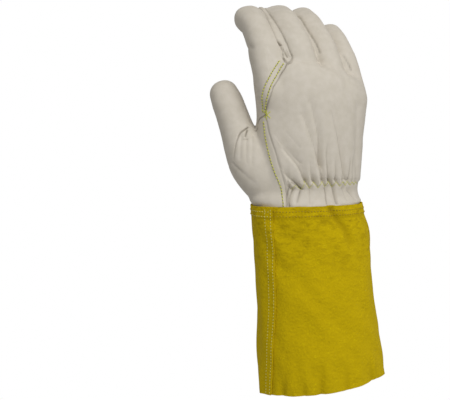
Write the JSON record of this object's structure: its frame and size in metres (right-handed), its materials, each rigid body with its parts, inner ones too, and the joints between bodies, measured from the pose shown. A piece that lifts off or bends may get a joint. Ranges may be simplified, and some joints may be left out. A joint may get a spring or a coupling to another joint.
{
  "type": "rigger glove",
  "caption": "Right-hand leather work glove with an elastic-gathered wrist, set-in thumb, side strips between the fingers and a long flared gauntlet cuff",
  "frame": {"origin": "middle of the wrist opening, at the height of the cuff's top edge, where the wrist fills the glove", "axes": "+Z from the cuff to the fingertips, +Y the way the palm faces, -X the thumb's side; the back of the hand faces -Y"},
  "size_m": [0.161, 0.1114, 0.3589],
  "materials": {
    "grain_leather": "soft matt cream grain leather, slightly mottled",
    "suede": "mottled mustard-yellow suede split",
    "thread": "pale sewing thread"
  },
  "bodies": {
    "root": {"back_panel": "grain_leather", "palm_panel": "grain_leather", "thumb": "grain_leather", "fourchette_index_middle": "grain_leather", "fourchette_middle_ring": "grain_leather", "fourchette_ring_little": "grain_leather", "cuff_palm": "suede", "cuff_back": "suede"}
  },
  "joints": []
}
